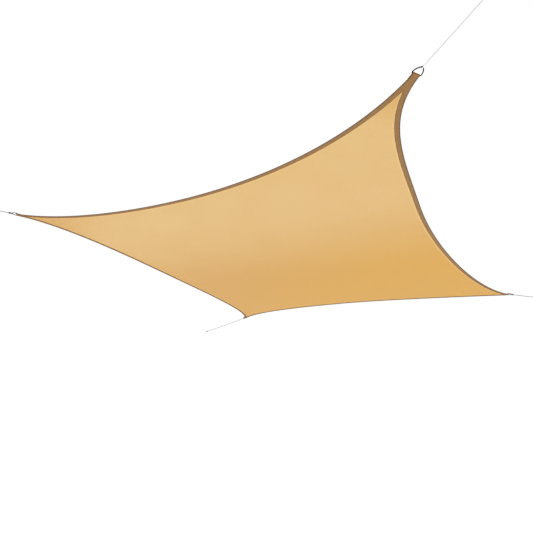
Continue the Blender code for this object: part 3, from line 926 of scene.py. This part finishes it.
def ring_stops():
    """Round the right half of the ring from its bar to its apex: a point, and its handles."""
    heel = Vector((RING_WIDTH / 2 - WIRE_RADIUS - RING_BEND, RING_BEND))
    apex = Vector((0.0, RING_TOP - RING_APEX))
    foot = arc_stop(heel, RING_BEND, -90.0, 90.0)
    turn = arc_stop(heel, RING_BEND, 0.0, 90.0)
    shoulder = arc_stop(apex, RING_APEX, 90.0 - APEX_SPREAD, APEX_SPREAD)
    crown = arc_stop(apex, RING_APEX, 90.0, APEX_SPREAD)
    leg = shoulder[0] - turn[0]
    bow = Vector((leg.y, -leg.x)).normalized() * RING_BOW * 4 / 3
    return [
        (foot[0], foot[0], foot[2]),
        (turn[0], turn[1], turn[0] + leg / 3 + bow),
        (shoulder[0], shoulder[0] - leg / 3 + bow, shoulder[2]),
        crown,
    ]


def ring_line():
    """The wire's middle line, once round from the right end of its bar."""
    right = ring_stops()
    flip = Matrix(((-1.0, 0.0), (0.0, 1.0)))
    left = [(flip @ place, flip @ after, flip @ before) for place, before, after in reversed(right[:-1])]
    stops = right + left + right[:1]
    line = [stops[0][0].to_3d()]
    for one, two in zip(stops, stops[1:]):
        handles = (one[0], one[2], two[1], two[0])
        line += interpolate_bezier(*(point.to_3d() for point in handles), RING_STEPS)[1:]
    return line


def build_ring(corner, finish):
    """The closed ring of round wire, with its bar in the neck's fold."""
    frames = frames_along(ring_line(), UP, closed=True)
    mesh = swept(frames, [round_outline(WIRE_RADIUS, WIRE_SIDES)] * len(frames), closed=True)
    made = piece("wire_" + corner, mesh, finish, ring_frame(corner))
    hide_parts("ring_" + corner)


# Ropes -----------------------

def braid_outline(distance):
    """The rope's outline here, raised where a strand comes to the surface."""
    outline = []
    for i in range(ROPE_SIDES):
        angle = 2 * math.pi * i / ROPE_SIDES
        along, around = math.pi * distance / BRAID_STEP, BRAID_WAVES * angle
        raised = max(abs(math.cos(around + along)), abs(math.cos(around - along)))
        radius = ROPE_RADIUS * (1 - BRAID_DEPTH * (1 - raised))
        outline.append((radius * math.cos(angle), radius * math.sin(angle)))
    return outline


def braided(line, up):
    """A length of braided rope along this line."""
    return swept(frames_along(line, up), [braid_outline(d) for d in running_lengths(line)])


def rope_line(corner):
    """A taut line from the knot to the loop, in the rope's frame, with its small sag."""
    start, end = rope_ends(corner)
    start, end = start + ROPE_GAP, end - ROPE_GAP
    span = end - start
    line = []
    for i in range(ROUTE_POINTS):
        share = i / (ROUTE_POINTS - 1)
        line.append(Vector((0.0, start + span * share, -4 * share * (1 - share) * ROPE_SAG * span)))
    return evenly(line, ROPE_STEP)


def coil_line(start):
    """The turns of a knot, wound from start outwards along Y, with both ends tucked in."""
    steps = COIL_TURNS * ROPE_SIDES
    first, last = start + ROPE_RADIUS, start + KNOT_LENGTH - ROPE_RADIUS
    line = []
    for i in range(steps + 1):
        share = i / steps
        angle = 2 * math.pi * COIL_TURNS * share
        risen = min(share, 1 - share) / COIL_TUCK
        radius = COIL_RADIUS * min(1.0, COIL_END + (1 - COIL_END) * risen)
        along = first + (last - first) * share
        line.append(Vector((radius * math.cos(angle), along, radius * math.sin(angle))))
    return evenly(line, ROPE_STEP)


def eye_line():
    """The bight of rope round the ring's wire: in from the knot, round the wire and back."""
    deep = KNOT_START + KNOT_LENGTH / 2
    line = [Vector((0.0, deep, -ROPE_RADIUS))]
    for i in range(ROPE_SIDES + 1):
        angle = math.radians(BIGHT_SPREAD * (2 * i / ROPE_SIDES - 1))
        line.append(Vector((0.0, -math.cos(angle), math.sin(angle))) * EYE_RADIUS)
    return evenly(line + [Vector((0.0, deep, ROPE_RADIUS))], ROPE_STEP)


def loop_line(start):
    """A teardrop loop of rope in the sail's plane, from a knot that ends at start."""
    wide, long = LOOP_WIDTH / 2 - ROPE_RADIUS, LOOP_LENGTH - ROPE_RADIUS
    apart = ROPE_RADIUS + ROPE_GAP / 2
    steps = ROPE_SIDES * 2
    line = [Vector((apart, start - KNOT_LENGTH / 2, 0.0))]
    for i in range(steps + 1):
        angle = 2 * math.pi * i / steps
        opened = math.sin(angle / 2) if 0 < i < steps else 0.0
        leg = math.copysign(apart * (1 - opened), steps / 2 - i)
        across = wide * math.sin(angle) * opened**LOOP_TAPER
        line.append(Vector((across + leg, start + long * (1 - math.cos(angle)) / 2, 0.0)))
    return evenly(line + [Vector((-apart, start - KNOT_LENGTH / 2, 0.0))], ROPE_STEP)


def knotted(line, up, start, rope_side):
    """Rope along this line, and the knot that holds it: its turns, which begin at start.

    The end of the long rope runs into the turns from rope_side.
    """
    inside = evenly([Vector((0.0, y, 0.0)) for y in (rope_side, start + KNOT_LENGTH / 2)], ROPE_STEP)
    return joined([braided(coil_line(start), ACROSS), braided(inside, ACROSS), braided(line, up)])


def rope_piece(name, corner, mesh, finish, solid):
    """A piece in this corner's rope frame, shown instead of one of the frame's solids."""
    made = piece(name + corner, mesh, finish, rope_frame(corner))
    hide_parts(solid + corner)
    return made


def build_rope(corner, finish, knot_finish):
    """The rope, with the knot whose eye holds its ring and the knotted loop at its outer end."""
    start = rope_ends(corner)[1]
    eye = knotted(eye_line(), ACROSS, KNOT_START, KNOT_START + KNOT_LENGTH)
    knot = rope_piece("eye_", corner, eye, knot_finish, "knot_")
    bight = knotted(loop_line(start + KNOT_LENGTH), UP, start, start)
    loop = rope_piece("bight_", corner, bight, finish, "loop_")
    line = rope_line(corner)
    made = rope_piece("line_", corner, braided(line, ACROSS), finish, "rope_")
    placed = SAIL_PLANE @ rope_frame(corner)
    path = [placed @ point for point in line]
    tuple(path[0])
    running_lengths(path)[-1]


# The stage -------------------

def build_camera(stage):
    """The photograph's view: from below the near left side, looking up at the cloth."""
    data = bpy.data.cameras.new("camera")
    data.sensor_width = stage.sensor
    data.lens = stage.lens
    camera = added("camera", data)
    camera.location = SAIL_PLANE.translation + Vector(stage.eye)
    camera.rotation_euler = (math.radians(90.0) + stage.pitch, 0.0, -stage.yaw)
    bpy.context.scene.camera = camera


def build_lights(stage):
    """An even white sky and a broad soft sun."""
    world = bpy.data.worlds.new("white studio")
    world.use_nodes = True
    sky = world.node_tree.nodes["Background"].inputs
    sky["Strength"].default_value = stage.sky
    sky["Color"].default_value = (1.0, 1.0, 1.0, 1.0)
    bpy.context.scene.world = world
    data = bpy.data.lights.new("sun", "SUN")
    data.energy = stage.sun
    data.angle = SUN_BREADTH
    added("sun", data).rotation_euler = SUN_TURN
    bpy.context.scene.view_settings.view_transform = "Standard"


def build_floor(stage):
    """A level floor, far wider than the sail."""
    mesh = bmesh.new()
    half = stage.floor_size / 2
    bmesh.ops.create_grid(mesh, x_segments=FLOOR_CELLS, y_segments=FLOOR_CELLS, size=half)
    bmesh.ops.translate(mesh, verts=mesh.verts, vec=SAIL_PLANE.translation - UP * stage.drop)
    data = mesh_data("floor", mesh)
    data.materials.append(plain_floor(stage.floor_colour))
    floor = added("floor", data)


# The add-on ------------------

def number(name, description, default, **limits):
    return FloatProperty(name=name, description=description, default=default, **limits)


def length(name, description, default):
    return number(name, description, default, min=0.0, unit="LENGTH")


def angle(name, description, degrees):
    return number(name, description, math.radians(degrees), subtype="ANGLE")


def colour(name, description, default):
    return FloatVectorProperty(
        name=name, description=description, default=default, size=3, min=0.0, max=1.0, subtype="COLOR"
    )


class ShadeSailSizes(bpy.types.PropertyGroup):
    panel_thick: length("Panel thickness", "Thickness of the knitted panel", 0.0014)
    pucker: length("Pucker height", "How high the panel is drawn up beside its hems", 0.0008)
    pucker_length: length("Pucker length", "From one pucker to the next along a hem", 0.085)
    pucker_reach: length("Pucker reach", "How far into the panel the puckers fade away", 0.06)
    stitch: length("Stitch", "From one stitch to the next", 0.007)


class ShadeSailColours(bpy.types.PropertyGroup):
    # The light, deep and blushed cloth colours are one tan cloth with painted light and shade; the blushed
    # colour is also a random tone in the panel's patches.
    cloth_lit: colour("Light cloth", "The panel's near left side", (0.80, 0.545, 0.243))
    cloth_shaded: colour("Shaded cloth", "The panel's right side", (0.745, 0.428, 0.105))
    cloth_blush: colour("Blushed cloth", "The panel's far left side and patches", (0.715, 0.418, 0.137))
    cloth_rim: colour("Cloth rim", "The panel beside its hems", (0.90, 0.60, 0.25))
    # The hem colours are the doubled tan cloth painted with shade for the light that it holds back; the
    # deep hem is more painted shade away from the near corner, the hem edge colour is also painted shade
    # in the slits, and the light hem's threads are a random tone.
    hem: colour("Hem", "The doubled cloth of the hems and necks", (0.305, 0.165, 0.058))
    hem_light: colour("Light hem", "Lighter threads in the hems", (0.355, 0.195, 0.068))
    hem_shaded: colour("Shaded hem", "The hems away from the near corner", (0.230, 0.100, 0.016))
    hem_dark: colour("Hem edge", "The hems' edges and slits", (0.115, 0.040, 0.006))
    # The fold colour is painted shade where the necks bend round the rings.
    fold: colour("Fold", "The necks where they fold round the rings", (0.250, 0.085, 0.008))
    thread: colour("Thread", "The sewing thread", (0.42, 0.25, 0.10))
    steel: colour("Ring", "The rings' black coat", (0.006, 0.0055, 0.0055))
    # The ropes are one rope with painted light and shade: the near rope lit, its knot painted brighter
    # still, and the left, right and far ropes and knots painted in shade.
    rope: colour("Pale rope", "The near rope, in full light", (0.80, 0.785, 0.78))
    rope_shaded: colour("Shadowed rope", "The left, right and far ropes", (0.085, 0.08, 0.08))
    knot: colour("Knot", "The sunlit knot at the near ring", (0.97, 0.965, 0.95))


class ShadeSailStage(bpy.types.PropertyGroup):
    eye: FloatVectorProperty(
        name="Eye",
        description="The camera's place from the middle of the sail's corners",
        default=(-1.0942, -4.0870, -1.6522),
        subtype="TRANSLATION",
        unit="LENGTH",
    )
    pitch: angle("Pitch", "How far the camera looks up", 20.335)
    yaw: angle("Yaw", "How far the camera is turned from +Y towards +X", 12.374)
    sensor: number("Sensor", "The camera's sensor width in mm", 36.0)
    lens: number("Lens", "The camera's focal length in mm", 30.338)
    sky: number("Sky", "Strength of the white sky", 1.0, min=0.0)
    sun: number("Sun", "Strength of the soft sun", 0.5, min=0.0)
    drop: length("Drop", "From the sail's middle down to the floor", 3.30)
    floor_size: length("Floor size", "Length of each side of the floor", 120.0)
    floor_colour: colour("Floor", "The floor's paint", (0.93, 0.93, 0.93))


class SHADESAIL_OT_stage(bpy.types.Operator):
    """Add the camera, the lights and the floor"""

    bl_idname = "shade_sail.stage"
    bl_label = "Stage"

    def execute(self, context):
        stage = context.scene.shade_sail_stage
        build_camera(stage)
        build_lights(stage)
        build_floor(stage)
        return {"FINISHED"}


class SHADESAIL_OT_ropes(bpy.types.Operator):
    """Add the four ropes with their knots and loops"""

    bl_idname = "shade_sail.ropes"
    bl_label = "Ropes"

    def execute(self, context):
        colours = context.scene.shade_sail_colours
        # Painted light and shade: the near rope and knot take the lit colours, the other three the shaded
        # one.
        pale, white = braid("pale rope", colours.rope), braid("white knot", colours.knot, valley_shade=0.9)
        shaded = braid("shadowed rope", colours.rope_shaded)
        for corner in CORNERS:
            lit = corner == "near"
            build_rope(corner, pale if lit else shaded, white if lit else shaded)
        return {"FINISHED"}


class SHADESAIL_OT_rings(bpy.types.Operator):
    """Add the four triangle rings"""

    bl_idname = "shade_sail.rings"
    bl_label = "Rings"

    def execute(self, context):
        finish = black_steel(context.scene.shade_sail_colours)
        for corner in CORNERS:
            build_ring(corner, finish)
        return {"FINISHED"}


class SHADESAIL_OT_hems(bpy.types.Operator):
    """Add the hem along each of the four edges"""

    bl_idname = "shade_sail.hems"
    bl_label = "Hems"

    def execute(self, context):
        finish = hem_cloth(context.scene.shade_sail_colours)
        for name in SIDES:
            build_hem(name, finish)
        return {"FINISHED"}


class SHADESAIL_OT_folds(bpy.types.Operator):
    """Add the four necks' ends, folded round their rings"""

    bl_idname = "shade_sail.folds"
    bl_label = "Folds"

    def execute(self, context):
        finish = fold_cloth(context.scene.shade_sail_colours)
        for corner in CORNERS:
            build_fold(corner, finish)
        return {"FINISHED"}


class SHADESAIL_OT_stitching(bpy.types.Operator):
    """Add the rows of stitches on the hems and the folds"""

    bl_idname = "shade_sail.stitching"
    bl_label = "Stitching"

    def execute(self, context):
        sizes = context.scene.shade_sail_sizes
        finish = thread_finish(context.scene.shade_sail_colours)
        for name in SIDES:
            build_hem_stitching(name, finish, sizes)
        for corner in CORNERS:
            build_fold_stitching(corner, finish, sizes)
        return {"FINISHED"}


class SHADESAIL_OT_panel(bpy.types.Operator):
    bl_idname = "shade_sail.panel"
    bl_label = "Panel"

    def execute(self, context):
        panel = build_panel(context.scene.shade_sail_sizes, context.scene.shade_sail_colours)
        sewn = [start + name for start in ("hem_", "stitching_") for name in SIDES]
        sewn += [start + corner for start in ("fold_", "fold_stitching_") for corner in CORNERS]
        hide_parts("sail")
        return {"FINISHED"}


OPERATORS = (
    SHADESAIL_OT_stage,
    SHADESAIL_OT_ropes,
    SHADESAIL_OT_rings,
    SHADESAIL_OT_hems,
    SHADESAIL_OT_folds,
    SHADESAIL_OT_stitching,
    SHADESAIL_OT_panel,
)


class SHADESAIL_PT_sidebar(bpy.types.Panel):
    """Lists the steps that build the sail"""

    bl_idname = "SHADESAIL_PT_sidebar"
    bl_label = "Shade Sail"
    bl_space_type = "VIEW_3D"
    bl_region_type = "UI"
    bl_category = "Shade Sail"

    def draw(self, context):
        for settings in GROUPS:
            group = getattr(context.scene, settings)
            for name in group.__annotations__:
                self.layout.prop(group, name)
        for operator in OPERATORS:
            self.layout.operator(operator.bl_idname)


GROUPS = {
    "shade_sail_sizes": ShadeSailSizes,
    "shade_sail_colours": ShadeSailColours,
    "shade_sail_stage": ShadeSailStage,
}


def register():
    for made in (*GROUPS.values(), *OPERATORS, SHADESAIL_PT_sidebar):
        bpy.utils.register_class(made)
    for name, group in GROUPS.items():
        setattr(bpy.types.Scene, name, PointerProperty(type=group))


def unregister():
    for name in GROUPS:
        delattr(bpy.types.Scene, name)
    for made in (SHADESAIL_PT_sidebar, *reversed(OPERATORS), *reversed(GROUPS.values())):
        bpy.utils.unregister_class(made)


def main():
    register()
    bpy.ops.shade_sail.stage()
    bpy.ops.shade_sail.ropes()
    bpy.ops.shade_sail.rings()
    bpy.ops.shade_sail.hems()
    bpy.ops.shade_sail.folds()
    bpy.ops.shade_sail.stitching()
    bpy.ops.shade_sail.panel()


if __name__ == "__main__":
    main()
